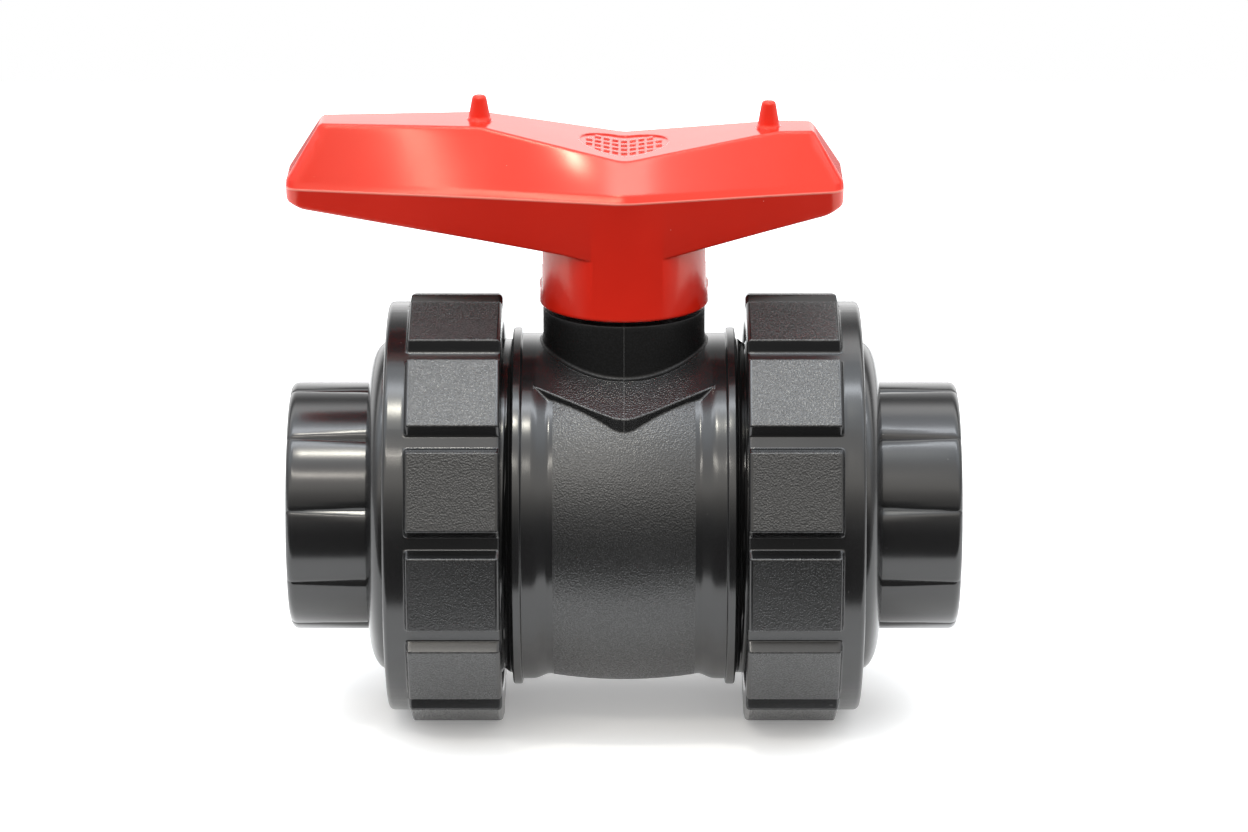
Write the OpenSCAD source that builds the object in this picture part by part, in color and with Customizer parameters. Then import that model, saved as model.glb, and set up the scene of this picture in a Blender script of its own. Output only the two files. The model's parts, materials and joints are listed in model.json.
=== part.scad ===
// Quarter-turn ball valve with a union nut and a solvent socket at each end.
// X runs along the pipe, Z points up to the handle, and the nuts stand on z = 0.

/* [Pipe and waterway] */
// Outside diameter of the pipe that the sockets take
pipe_d = 50; // [40:0.5:58]
// Radial room between the pipe and its socket
pipe_room = 0.1; // [0.05:0.05:0.3]
// Depth of each socket
socket_depth = 31; // [20:0.5:45]
// Wall round each socket
socket_wall = 5.4; // [3:0.1:6.5]
// Thickness of the stop at the bottom of each socket
socket_stop = 3; // [2:0.5:12]
// Chamfer on the rim of each socket
socket_chamfer = 1.5; // [0.5:0.1:2.5]
// Diameter of the waterway through ball and body
port_d = 40; // [30:1:48]

/* [Ball and seats] */
// Diameter of the ball
ball_d = 61; // [58:0.5:75]
// Gap between the ball and each seat
ball_gap = 0.1; // [0.05:0.05:0.2]
// Room round the ball in the chamber
chamber_room = 1.55; // [1:0.05:3]
// Wall of plastic over the waterway under the stem slot
slot_floor = 5; // [3:0.5:7]
// Width of the stem slot in the ball
slot_w = 8.2; // [6:0.1:10]
// Thickness of the seat behind the ball
seat_back = 3; // [2:0.5:6]
// How far the seat bore stands back from the waterway
seat_bore_step = 1; // [0.5:0.25:2]
// How far the seat rim stands in from the chamber wall
seat_rim_step = 3.55; // [3:0.05:5]
// Depth of the seat rim along the pipe
seat_rim_len = 13; // [10:0.5:16]

/* [Body] */
// Length of the body between its two sealing faces
body_len = 96; // [88:1:130]
// Distance over the two thin rings
barrel_len = 54.4; // [50:0.2:66]
// Wall of the barrel at its waist
body_wall = 9.45; // [8:0.05:14]
// How far the barrel bulges past its waist
belly = 1.5; // [0.5:0.1:3]
// How far the end sections stand out from the waist
end_step = 1.3; // [0.6:0.1:3]
// Width of each end section, ring left out
end_w = 4.2; // [3:0.1:8]
// Width of the slope from the waist to the end section
blend_w = 2.3; // [1:0.1:4]
// How far the thin rings stand out
ring_step = 1.3; // [0.5:0.1:3]
// Width of each thin ring
ring_w = 2.3; // [1:0.1:4]
// Pitch of the union threads
thread_pitch = 4; // [3:0.5:5]
// Depth of the union threads
thread_depth = 1.2; // [0.8:0.1:1.6]

/* [Neck and stem] */
// Outside diameter of the neck
neck_d = 39.6; // [36:0.2:44]
// Height of the neck above the waist
neck_rise = 9.8; // [8:0.2:16]
// Diameter of the stem
stem_d = 19; // [14:0.5:23]
// Radial running clearance of the stem
stem_fit = 0.06; // [0.03:0.01:0.1]
// How far the stem flange stands out
stem_flange_step = 2.6; // [1.5:0.1:4]
// Thickness of the stem flange
stem_flange_t = 4; // [3:0.5:6]
// Thickness of the thrust washer
washer_t = 1.2; // [0.8:0.1:2]
// Width across the flats of the stem head
stem_square = 12.4; // [9:0.1:13]
// Height of the stem head above the neck
stem_head = 14.7; // [10:0.1:18]
// Width of a stem O-ring groove
stem_groove_w = 2.4; // [2:0.1:3]
// Depth of a stem O-ring groove
stem_groove_depth = 1.8; // [1.5:0.1:2.2]
// Radial width of the two stops on the neck
stop_w = 3.9; // [2.5:0.1:4]
// Height of the two stops
stop_h = 5.5; // [3:0.5:7]

/* [Union nuts] */
// Wall of the nut between thread and grip
nut_wall = 9.05; // [7:0.05:12]
// Number of grip ribs
rib_count = 13; // [9:2:19]
// Height of the grip ribs
rib_h = 1.9; // [1:0.1:3]
// Angle that each rib's flat covers
rib_angle = 20.5; // [10:0.5:22]
// Gap along the pipe between ring and nut
nut_gap = 2.5; // [1.5:0.1:4]
// Smooth collar between the ribs and the shoulder
collar_w = 5.8; // [3:0.1:9]
// Thickness of the lip that holds the connector
lip_t = 7; // [4:0.5:9]
// Part of the lip that is the sloping shoulder
shoulder_w = 4.7; // [2:0.1:6]
// Radial fall of the step at the outside of the shoulder
shoulder_step = 9.9; // [4:0.1:11]
// Depth of the smooth lead-in ahead of the nut thread
lead_in = 4; // [2:0.5:6]
// Radial running room of the nut
nut_room = 0.4; // [0.3:0.05:0.6]

/* [End connectors] */
// Thickness of the connector flange
flange_t = 7.4; // [5:0.2:10]
// Number of shallow grooves round each connector
groove_count = 10; // [6:1:12]
// Depth of those grooves
groove_depth = 0.5; // [0.2:0.1:0.8]

/* [Seat carrier and seals] */
// Wall of the carrier round its seat
carrier_rim = 3.4; // [3:0.1:4]
// How far the threaded head stands out
carrier_head_step = 4.7; // [3:0.1:5]
// Length of the threaded head
carrier_head_len = 11; // [8:0.5:14]
// Width of an O-ring groove in the body, the carrier and behind the seats
seal_groove_w = 4.2; // [3.6:0.1:4.6]
// Depth of those grooves
seal_groove_depth = 3; // [2.6:0.1:3.4]
// Radial gap from the waterway to the face O-ring groove
face_seal_step = 5.4; // [4:0.1:8]

/* [Handle] */
// Length of the long wing from the stem axis
wing_long = 81.8; // [70:0.1:98]
// Length of the short wing from the stem axis
wing_short = 53.1; // [46:0.1:64]
// Outside diameter of the hub
hub_d = 41.4; // [40:0.1:48]
// Wall of the hub
hub_wall = 2.8; // [2:0.1:3.6]
// Wall of the hollow wings
wing_wall = 3; // [2:0.1:4]
// Half width of the handle at its parting line over the stem
waist_half = 25; // [22:0.1:30]
// Half width of the parting line at the end of a wing
tip_half = 9; // [7:0.1:12]
// Height from the hub's rim to the parting line
part_rise = 31; // [26:0.1:36]
// Depth of the long wing below its parting line, beside the hub
skirt_deep = 14; // [10:0.1:18]
// Depth of the wings below the parting line, at their ends
skirt_tip = 5; // [4:0.1:8]
// Height of the parting line up to the rounded edge of the sloping faces
edge_rise = 2.6; // [1.5:0.1:4]
// Height of the long wing's top above the parting line
top_long = 15.1; // [10:0.1:18]
// Height of the short wing's top above the parting line
top_short = 13.5; // [9:0.1:16]
// Height of the saddle over the stem above the parting line
top_saddle = 8; // [5:0.1:9]
// Distance of each peg from the stem axis
peg_x = 35; // [33.6:0.1:36.2]
// Height of the pegs above the wing
peg_h = 6.6; // [5:0.1:10]
// Diameter of a peg at its foot
peg_d = 5; // [4:0.1:6]
// Clearance between the square head and its socket
square_fit = 0.15; // [0.1:0.05:0.3]
// Angle that the handle turns through
travel = 90; // [60:5:100]
// Angle that each of the handle's two lugs covers
lug_angle = 40; // [25:5:50]

/* [Hidden] */

eps = 0.01;
seal_gap = 0.02;
face_gap = 0.05;
far = 200;
thread_step = 0.2;
thread_fit = 0.15;
lead_in_step = 4.5;
tang_room = 0.2;
flange_room = 0.7;
seal_land = 4;
stop_inset = 2.3;
boss_room = 1.3;
hub_room = 0.5;

ball_r = ball_d / 2;
port_r = port_d / 2;
socket_r = pipe_d / 2 + pipe_room;
connector_r = socket_r + socket_wall;

chamber_r = ball_r + chamber_room;
waist_r = chamber_r + body_wall;
belly_r = waist_r + belly;
end_r = waist_r + end_step;
ring_r = end_r + ring_step;
thread_r = waist_r - thread_step;
ring_x = barrel_len / 2;
end_x = ring_x - ring_w - end_w;
waist_x = end_x - blend_w;
face_x = body_len / 2;

seat_r = chamber_r - seat_rim_step;
seat_bore_r = port_r + seat_bore_step;
seat_back_x = sqrt(pow(ball_r, 2) - pow(port_r, 2)) + seat_back;
seat_front_x = seat_back_x - seat_rim_len;
seat_shelf_x = seat_front_x + 2;
seat_seal_r = (seat_bore_r + seat_r) / 2;
seal_section_r = seal_groove_depth / 2 - seal_gap;

carrier_r = seat_r + carrier_rim;
carrier_seal_depth = 2.6;
carrier_seal_x = seat_back_x + 3 + seal_groove_w / 2;
carrier_head_x = max(face_x - carrier_head_len, carrier_seal_x + seal_groove_w / 2 + 1);
carrier_head_r = chamber_r + carrier_head_step;
face_seal_r = port_r + face_seal_step + seal_groove_w / 2;

neck_r = neck_d / 2;
neck_top = waist_r + neck_rise;
stem_r = stem_d / 2;
stem_flange_r = stem_r + stem_flange_step;
slot_bottom = port_r + slot_floor;
flange_bottom = ball_r + flange_room;
washer_bottom = flange_bottom + stem_flange_t;
recess_top = washer_bottom + washer_t + face_gap;
stem_seal_low = recess_top + seal_land;
stem_seal_high = neck_top - seal_land;
stop_r = neck_r - stop_inset;

nut_bore_r = thread_r + thread_fit;
nut_r = nut_bore_r + nut_wall;
rib_r = nut_r + rib_h;
axis_h = rib_r;
nut_near = ring_x + nut_gap;
lip_x = face_x + face_gap + flange_t + face_gap;
nut_far = lip_x + lip_t;
collar_x = nut_far - shoulder_w;
nut_hole_r = connector_r + nut_room;
lead_in_r = nut_bore_r + lead_in_step;

flange_r = nut_bore_r - nut_room;
socket_floor_x = face_x + face_gap + socket_stop;
mouth_x = socket_floor_x + socket_depth;

hub_r = hub_d / 2;
hub_bottom = neck_top + hub_room;
hub_bore_r = hub_r - hub_wall;
part_z = hub_bottom + part_rise;
boss_r = stop_r - stop_w - boss_room;

// Moves a part from the pipe axis up to its height over the floor
module at_axis() {
    translate([0, 0, axis_h]) children();
}

// Revolves a profile of [distance along the pipe, radius] round the pipe axis
module round_pipe(points) {
    rotate([0, 90, 0]) rotate([0, 0, 90])
        rotate_extrude($fn = 96) polygon([for (p = points) [p[1], p[0]]]);
}

// Straight round piece along the pipe between two places
module pipe_run(x0, x1, r) {
    translate([x0, 0, 0]) rotate([0, 90, 0]) cylinder(r = r, h = x1 - x0, $fn = 96);
}

// Ring along the pipe between two places and two radii
module pipe_ring(x0, x1, r_out, r_in) {
    difference() {
        pipe_run(x0, x1, r_out);
        pipe_run(x0 - 1, x1 + 1, r_in);
    }
}

// Round seal on the pipe axis
module pipe_seal(x, r, section_r) {
    translate([x, 0, 0]) rotate([0, 90, 0])
        rotate_extrude($fn = 96) translate([r, 0]) circle(r = section_r, $fn = 32);
}

// Places that a thread's rings take between two ends
function ring_places(x0, x1) =
    [for (i = [0:floor((x1 - x0) / thread_pitch) - 1]) x0 + (i + 0.5) * thread_pitch];

// Groove profile at each place, cut into a round piece of radius r, inwards or outwards
module thread_grooves(x0, x1, r, depth) {
    for (x = ring_places(x0, x1))
        round_pipe([[x - thread_pitch * 0.42, r], [x - thread_pitch * 0.12, r + depth],
                    [x + thread_pitch * 0.12, r + depth], [x + thread_pitch * 0.42, r],
                    [x, r - depth / 4]]);
}

// Outside of the body from one sealing face to the other
function barrel_arc() =
    [for (i = [-8:8]) let (x = waist_x * i / 8) [x, waist_r + belly * (1 - pow(i / 8, 2))]];

module body_outside() {
    round_pipe(concat(
        [[-face_x, 0], [-face_x, thread_r - thread_depth], [-face_x + thread_depth, thread_r],
         [-ring_x, thread_r], [-ring_x, ring_r], [-ring_x + ring_w, ring_r],
         [-ring_x + ring_w, end_r], [-end_x, end_r]],
        barrel_arc(),
        [[end_x, end_r], [ring_x - ring_w, end_r], [ring_x - ring_w, ring_r],
         [ring_x, ring_r], [ring_x, thread_r], [face_x - thread_depth, thread_r],
         [face_x, thread_r - thread_depth], [face_x, 0]]));
}

// Raised pad under the neck: a V in plan, cut off by a plane that leans against the barrel
module chevron_pad() {
    pad_tilt = 62.5;
    pad_height = belly_r + 0.1;
    pad_back_y = pad_height * cos(pad_tilt);
    pad_tip_x = end_x + 0.8;
    pad_tip_y = pad_back_y + 2.1;
    pad_point_y = pad_back_y + 12.7;
    nose = 3;
    intersection() {
        linear_extrude(height = far)
            polygon([[-pad_tip_x, -pad_tip_y], [-nose, -pad_point_y], [nose, -pad_point_y],
                     [pad_tip_x, -pad_tip_y], [pad_tip_x - nose, -pad_back_y],
                     [nose - pad_tip_x, -pad_back_y]]);
        rotate([90 - pad_tilt, 0, 0])
            translate([-far / 2, -far / 2, -far])
                cube([far, far, far + pad_height]);
        translate([-far / 2, -far / 2, waist_r / 2]) cube([far, far, far]);
    }
}

// Sector of a ring round the stem, centred on an angle
module sector(r_in, r_out, z0, z1, middle, angle) {
    translate([0, 0, z0]) rotate([0, 0, middle - angle / 2])
        rotate_extrude(angle = angle, $fn = 96)
            translate([r_in, 0]) square([r_out - r_in, z1 - z0]);
}

module body() {
    stop_angle = 180 - travel - lug_angle - 1;
    color([0.17, 0.17, 0.18]) at_axis() difference() {
        union() {
            body_outside();
            cylinder(r = neck_r, h = neck_top, $fn = 96);
            chevron_pad();
            mirror([0, 1, 0]) chevron_pad();
            for (middle = [90, 270])
                sector(stop_r - stop_w, stop_r, neck_top - 1, neck_top + stop_h, middle, stop_angle);
        }
        pipe_run(-carrier_head_x, seat_shelf_x, chamber_r);
        pipe_run(-far, -carrier_head_x + eps, carrier_head_r + thread_fit);
        pipe_run(0, seat_back_x + face_gap, seat_r + face_gap);
        pipe_run(0, far, port_r);
        pipe_ring(seat_back_x, seat_back_x + seal_groove_depth,
                  seat_seal_r + seal_groove_w / 2, seat_seal_r - seal_groove_w / 2);
        pipe_ring(face_x - seal_groove_depth, face_x + 1,
                  face_seal_r + seal_groove_w / 2, face_seal_r - seal_groove_w / 2);
        for (side = [0, 1])
            mirror([side, 0, 0])
                thread_grooves(ring_x + 1, face_x - thread_depth, thread_r, -thread_depth);
        cylinder(r = stem_r + stem_fit, h = far, $fn = 96);
        cylinder(r = stem_flange_r + stem_fit, h = recess_top, $fn = 96);
    }
}

module ball() {
    color([0.3, 0.3, 0.32]) at_axis() difference() {
        sphere(r = ball_r, $fn = 96);
        pipe_run(-far, far, port_r);
        translate([-slot_w / 2, -far / 2, slot_bottom]) cube([slot_w, far, far]);
    }
}

module stem() {
    tang_w = slot_w - tang_room;
    tang_len = 2 * sqrt(pow(stem_flange_r - 0.5, 2) - pow(tang_w / 2, 2));
    shaft_top = neck_top + 1;
    head_top = neck_top + stem_head;
    color([0.24, 0.24, 0.26]) at_axis() difference() {
        union() {
            translate([-tang_w / 2, -tang_len / 2, slot_bottom + tang_room])
                cube([tang_w, tang_len, flange_bottom - slot_bottom]);
            translate([0, 0, flange_bottom]) cylinder(r = stem_flange_r, h = stem_flange_t, $fn = 96);
            translate([0, 0, flange_bottom]) cylinder(r = stem_r, h = shaft_top - flange_bottom, $fn = 96);
            translate([-stem_square / 2, -stem_square / 2, shaft_top - 1])
                cube([stem_square, stem_square, head_top - shaft_top + 1]);
        }
        for (z = [stem_seal_low, stem_seal_high])
            translate([0, 0, z - stem_groove_w / 2]) difference() {
                cylinder(r = stem_r + 1, h = stem_groove_w, $fn = 96);
                translate([0, 0, -1])
                    cylinder(r = stem_r - stem_groove_depth, h = stem_groove_w + 2, $fn = 96);
            }
    }
}

module stem_thrust_washer() {
    color([0.92, 0.91, 0.87]) at_axis() translate([0, 0, washer_bottom]) difference() {
        cylinder(r = stem_flange_r - 0.2, h = washer_t, $fn = 96);
        translate([0, 0, -1]) cylinder(r = stem_r + stem_fit, h = washer_t + 2, $fn = 96);
    }
}

// O-ring that fills its groove in the stem
module stem_seal(z) {
    section_r = (stem_groove_depth + stem_fit) / 2 - seal_gap;
    color([0.07, 0.07, 0.07]) at_axis() translate([0, 0, z])
        rotate_extrude($fn = 96)
            translate([stem_r + stem_fit - seal_gap - section_r, 0]) circle(r = section_r, $fn = 32);
}

module stem_oring_lower() {
    stem_seal(stem_seal_low);
}

module stem_oring_upper() {
    stem_seal(stem_seal_high);
}

// Seat on the side that points to +X
module seat() {
    difference() {
        pipe_ring(seat_front_x, seat_back_x, seat_r, seat_bore_r);
        sphere(r = ball_r + ball_gap, $fn = 96);
    }
}

module seat_left() {
    color([0.93, 0.93, 0.9]) at_axis() mirror([1, 0, 0]) seat();
}

module seat_right() {
    color([0.93, 0.93, 0.9]) at_axis() seat();
}

module seat_oring_left() {
    color([0.07, 0.07, 0.07]) at_axis()
        pipe_seal(-seat_back_x - seal_groove_depth / 2, seat_seal_r, seal_section_r);
}

module seat_oring_right() {
    color([0.07, 0.07, 0.07]) at_axis()
        pipe_seal(seat_back_x + seal_groove_depth / 2, seat_seal_r, seal_section_r);
}

// Threaded carrier that holds the left seat; two notches in its face take the handle's pegs
module seat_carrier() {
    notch_w = peg_d + 0.8;
    notch_depth = 5;
    color([0.2, 0.2, 0.21]) at_axis() mirror([1, 0, 0]) difference() {
        union() {
            pipe_run(seat_shelf_x, face_x, carrier_r);
            pipe_run(carrier_head_x + 0.1, face_x, carrier_head_r);
        }
        pipe_run(0, far, port_r);
        pipe_run(0, seat_back_x + face_gap, seat_r + face_gap);
        pipe_ring(seat_back_x, seat_back_x + seal_groove_depth,
                  seat_seal_r + seal_groove_w / 2, seat_seal_r - seal_groove_w / 2);
        pipe_ring(carrier_seal_x - seal_groove_w / 2, carrier_seal_x + seal_groove_w / 2,
                  chamber_r + 1, carrier_r - carrier_seal_depth);
        pipe_ring(face_x - seal_groove_depth, face_x + 1,
                  face_seal_r + seal_groove_w / 2, face_seal_r - seal_groove_w / 2);
        for (side = [-1, 1])
            translate([face_x - notch_depth, side * peg_x - notch_w / 2, -notch_w / 2])
                cube([far, notch_w, notch_w]);
    }
}

module carrier_oring() {
    section_r = (chamber_r - carrier_r + carrier_seal_depth) / 2 - seal_gap;
    color([0.07, 0.07, 0.07]) at_axis()
        pipe_seal(-carrier_seal_x, chamber_r - seal_gap - section_r, section_r);
}

module face_oring_left() {
    color([0.07, 0.07, 0.07]) at_axis()
        pipe_seal(-face_x + seal_groove_depth / 2, face_seal_r, seal_section_r);
}

module face_oring_right() {
    color([0.07, 0.07, 0.07]) at_axis()
        pipe_seal(face_x - seal_groove_depth / 2, face_seal_r, seal_section_r);
}

// End connector on the side that points to +X
module end_connector() {
    near_x = face_x + face_gap;
    groove_turn = 14.5;
    groove_half = 1.2;
    difference() {
        union() {
            pipe_run(near_x, near_x + flange_t, flange_r);
            round_pipe([[near_x, 0], [near_x, connector_r], [mouth_x - socket_chamfer, connector_r],
                        [mouth_x, connector_r - socket_chamfer], [mouth_x, 0]]);
        }
        pipe_run(near_x - 1, mouth_x, port_r + 2);
        pipe_run(socket_floor_x, far, socket_r);
        for (i = [0:groove_count - 1])
            rotate([i * 360 / groove_count + groove_turn, 0, 0])
                translate([near_x + flange_t, 0, 0]) rotate([90, 0, 90])
                    linear_extrude(height = mouth_x - near_x - flange_t - socket_chamfer)
                        polygon([[connector_r - groove_depth, 0], [connector_r + 1, groove_half],
                                 [connector_r + 1, -groove_half]]);
    }
}

module end_connector_left() {
    color([0.19, 0.19, 0.2]) at_axis() mirror([1, 0, 0]) end_connector();
}

module end_connector_right() {
    color([0.19, 0.19, 0.2]) at_axis() end_connector();
}

// Union nut on the side that points to +X; one rib is centred at the bottom
module union_nut() {
    shoulder_r = nut_r - shoulder_step;
    edge = 1.2;
    rim = 0.6;
    dome = [for (i = [0:4]) let (a = i * 90 / 4)
            [collar_x + shoulder_w * sin(a), shoulder_r - (shoulder_r - nut_hole_r - rim) * (1 - cos(a))]];
    half = rib_r * tan(rib_angle / 2);
    foot_half = half + rib_h * 0.6;
    foot_r = nut_r - 0.4;
    root_r = nut_r - 4;
    difference() {
        union() {
            round_pipe(concat(
                [[nut_near, nut_bore_r - 1], [nut_near, nut_r - edge], [nut_near + edge, nut_r],
                 [collar_x - edge, nut_r], [collar_x, nut_r - edge]],
                dome,
                [[nut_far, nut_hole_r - 1]]));
            for (i = [0:rib_count - 1])
                rotate([i * 360 / rib_count, 0, 0])
                    translate([nut_near, 0, 0]) rotate([90, 0, 90])
                        linear_extrude(height = collar_x - collar_w - nut_near)
                            polygon([[-foot_half, -foot_r], [-half, -rib_r], [half, -rib_r],
                                     [foot_half, -foot_r], [0, -root_r]]);
        }
        pipe_run(0, far, nut_hole_r);
        pipe_run(0, lip_x, nut_bore_r);
        pipe_run(0, nut_near + lead_in, lead_in_r);
        thread_grooves(nut_near + lead_in + 1, face_x, nut_bore_r, thread_depth);
    }
}

module union_nut_left() {
    color([0.18, 0.18, 0.19]) at_axis() mirror([1, 0, 0]) union_nut();
}

module union_nut_right() {
    color([0.18, 0.18, 0.19]) at_axis() union_nut();
}

// Skin through a row of closed sections that all have the same number of points
module skin(sections) {
    n = len(sections[0]);
    last = len(sections) - 1;
    polyhedron(
        points = [for (s = sections) each s],
        faces = concat(
            [[for (k = [n - 1:-1:0]) k]],
            [for (i = [0:last - 1]) for (k = [0:n - 1]) let (m = (k + 1) % n)
                [i * n + k, i * n + m, (i + 1) * n + k]],
            [for (i = [0:last - 1]) for (k = [0:n - 1]) let (m = (k + 1) % n)
                [i * n + m, (i + 1) * n + m, (i + 1) * n + k]],
            [[for (k = [0:n - 1]) last * n + k]]));
}

// Heights and half widths of the handle along the pipe; each end leans in towards the top
corner = 3;
lean_long = 10;
lean_short = 8;
valley_x = peg_x + 1.6;
function part_half(x) =
    lookup(x, [[-wing_long, tip_half - corner], [-wing_long + corner, tip_half], [-2, waist_half],
               [2, waist_half], [wing_short - corner, tip_half + corner], [wing_short, tip_half]]);
function top_z(x) =
    part_z + lookup(x, [[-wing_long, edge_rise], [-wing_long + lean_long, top_long], [-peg_x, top_long],
                        [0, top_saddle], [valley_x, top_short], [wing_short - lean_short, top_short],
                        [wing_short, edge_rise]]);
function top_half(x) =
    lookup(x, [[-wing_long, tip_half - 4.2], [-wing_long + lean_long, tip_half - 4.2],
               [-peg_x, tip_half - 1], [0, waist_half - 8.7], [peg_x, tip_half - 2.7],
               [wing_short, tip_half - 3.1]]);
function skirt(x) =
    lookup(x, [[-wing_long, skirt_tip - 1.5], [corner + 1 - wing_long, skirt_tip], [-hub_r, skirt_deep],
               [hub_r - 10, skirt_deep + 1], [wing_short - corner - 1, skirt_tip + 1.2],
               [wing_short, skirt_tip - 1]]);

// Closed section of the handle at x, with every wall moved in by inset
function wing_section(x, inset, drop) =
    let (tz = top_z(x) - inset, ty = max(top_half(x) - inset * 0.6, 0.8),
         ey = part_half(x) - 2.2 - inset, ez = part_z + edge_rise - inset * 0.4,
         py = part_half(x) - inset, bz = part_z - skirt(x) - drop,
         by = part_half(x) - skirt(x) * 0.27 - inset)
    [[x, -ty, tz], [x, ty, tz], [x, ey, min(ez, tz - 0.2)], [x, py, part_z], [x, by, bz],
     [x, -by, bz], [x, -py, part_z], [x, -ey, min(ez, tz - 0.2)]];

function steps(x0, x1, n) = [for (i = [0:n]) x0 + (x1 - x0) * i / n];

module wings() {
    skin([for (x = [-wing_long, -wing_long + corner, -wing_long + lean_long, -peg_x, -hub_r, 0, hub_r,
                    valley_x, wing_short - lean_short, wing_short - corner, wing_short])
          wing_section(x, 0, 0)]);
}

// Hollow of one wing, left in cells by its ribs
module wing_hollow(x0, x1, cells) {
    rib_t = 2;
    difference() {
        skin([for (x = steps(x0, x1, 4)) wing_section(x, wing_wall, 5)]);
        for (i = [1:cells - 1])
            translate([x0 + (x1 - x0) * i / cells - rib_t / 2, -far / 2, 0]) cube([rib_t, far, far]);
        translate([-far / 2, -rib_t / 2, 0]) cube([far, rib_t, far]);
    }
}

module handle() {
    wing_foot = part_z - skirt_deep;
    slot_depth = 1.2;
    slot_width = 6;
    slot_lift = 5.5;
    boss_lift = 1.5;
    lug_room = 0.3;
    lug_top = hub_bottom + stop_h + 4;
    peg_root = 2;
    roof_z = part_z + top_saddle - wing_wall;
    socket_half = stem_square / 2 + square_fit;
    color([0.82, 0.13, 0.12]) at_axis() difference() {
        union() {
            difference() {
                union() {
                    wings();
                    translate([0, 0, hub_bottom]) cylinder(r = hub_r, h = part_z - hub_bottom, $fn = 96);
                }
                wing_hollow(-wing_long + 7, -hub_r + 1, 4);
                wing_hollow(hub_r - 1, wing_short - 6, 2);
                translate([0, 0, hub_bottom - 1])
                    cylinder(r = hub_bore_r, h = roof_z - hub_bottom + 1, $fn = 96);
            }
            translate([0, 0, hub_bottom + boss_lift])
                cylinder(r = boss_r, h = roof_z - hub_bottom - 1, $fn = 96);
            for (middle = [45, 225])
                sector(stop_r - stop_w + lug_room, hub_bore_r + 1, hub_bottom + 1, lug_top, middle, lug_angle);
            for (x = [-peg_x, peg_x])
                translate([x, 0, top_z(x) - peg_root])
                    cylinder(r1 = peg_d / 2 + 0.2, r2 = peg_d / 4, h = peg_h + peg_root, $fn = 48);
        }
        translate([-socket_half, -socket_half, hub_bottom - 1])
            cube([2 * socket_half, 2 * socket_half, neck_top + stem_head - hub_bottom + 3]);
        for (side = [-1, 1])
            translate([side * hub_r - slot_depth, -slot_width / 2, hub_bottom + slot_lift])
                cube([2 * slot_depth, slot_width, wing_foot - hub_bottom]);
    }
}

body();
ball();
stem();
stem_thrust_washer();
stem_oring_lower();
stem_oring_upper();
handle();
seat_left();
seat_right();
seat_oring_left();
seat_oring_right();
seat_carrier();
carrier_oring();
face_oring_left();
face_oring_right();
end_connector_left();
end_connector_right();
union_nut_left();
union_nut_right();
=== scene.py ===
"""Looks of the true-union ball valve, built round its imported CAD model."""
import json
import math

import bmesh
import bpy
import numpy as np
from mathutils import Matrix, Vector


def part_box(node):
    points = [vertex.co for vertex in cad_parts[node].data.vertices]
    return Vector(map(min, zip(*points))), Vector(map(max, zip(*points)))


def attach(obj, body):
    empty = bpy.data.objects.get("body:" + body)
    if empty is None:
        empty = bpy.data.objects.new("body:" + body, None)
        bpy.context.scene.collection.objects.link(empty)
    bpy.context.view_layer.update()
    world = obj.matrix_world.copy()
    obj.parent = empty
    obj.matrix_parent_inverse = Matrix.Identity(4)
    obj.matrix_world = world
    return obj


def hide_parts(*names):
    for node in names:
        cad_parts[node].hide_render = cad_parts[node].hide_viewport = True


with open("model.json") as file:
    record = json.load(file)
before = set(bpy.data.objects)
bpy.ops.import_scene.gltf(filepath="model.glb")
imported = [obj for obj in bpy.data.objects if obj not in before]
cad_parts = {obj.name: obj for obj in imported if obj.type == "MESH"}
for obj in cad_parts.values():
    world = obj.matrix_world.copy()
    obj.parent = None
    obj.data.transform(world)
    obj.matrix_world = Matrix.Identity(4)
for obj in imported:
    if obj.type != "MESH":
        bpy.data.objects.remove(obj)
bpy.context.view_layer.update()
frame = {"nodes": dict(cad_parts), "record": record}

# ---------------------------------------------------------------------------------------------
# Sizes, in millimetres, measured from the ball's centre: X along the pipe, Z up the stem
# ---------------------------------------------------------------------------------------------
MM = 0.001
MOUNT = {m["name"]: m for m in frame["record"]["mounts"]}["right_socket"]
AXIS_H = MOUNT["pos_m"][2] / MM
SOCKET_R = MOUNT["dims"]["r_mm"]
SOCKET_DEPTH = MOUNT["dims"]["length_mm"]


def span(node):
    """Lowest and highest corner of a CAD node, in millimetres from the ball's centre."""
    low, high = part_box(node)
    lift = np.array([0, 0, AXIS_H])
    return np.array(low) / MM - lift, np.array(high) / MM - lift


BODY_LO, BODY_HI = span("body")
NUT_LO, NUT_HI = span("union_nut_right")
END_LO, END_HI = span("end_connector_right")
HANDLE_LO, HANDLE_HI = span("handle")

FACE_X = BODY_HI[0]
MOUTH_X = END_HI[0]
FLANGE_R = END_HI[2]
RIB_R = AXIS_H
NUT_NEAR, NUT_FAR = NUT_LO[0], NUT_HI[0]
HUB_BOTTOM = HANDLE_LO[2]
NECK_TOP = HUB_BOTTOM - 0.5
PART_Z = HUB_BOTTOM + 31.0
WAIST_R = 41.5
PORT_R = 20.0
CONNECTOR_R = SOCKET_R + 5.4
THREAD_R = WAIST_R - 0.2
THREAD_PITCH = 4.0
THREAD_DEPTH = 1.2


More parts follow.
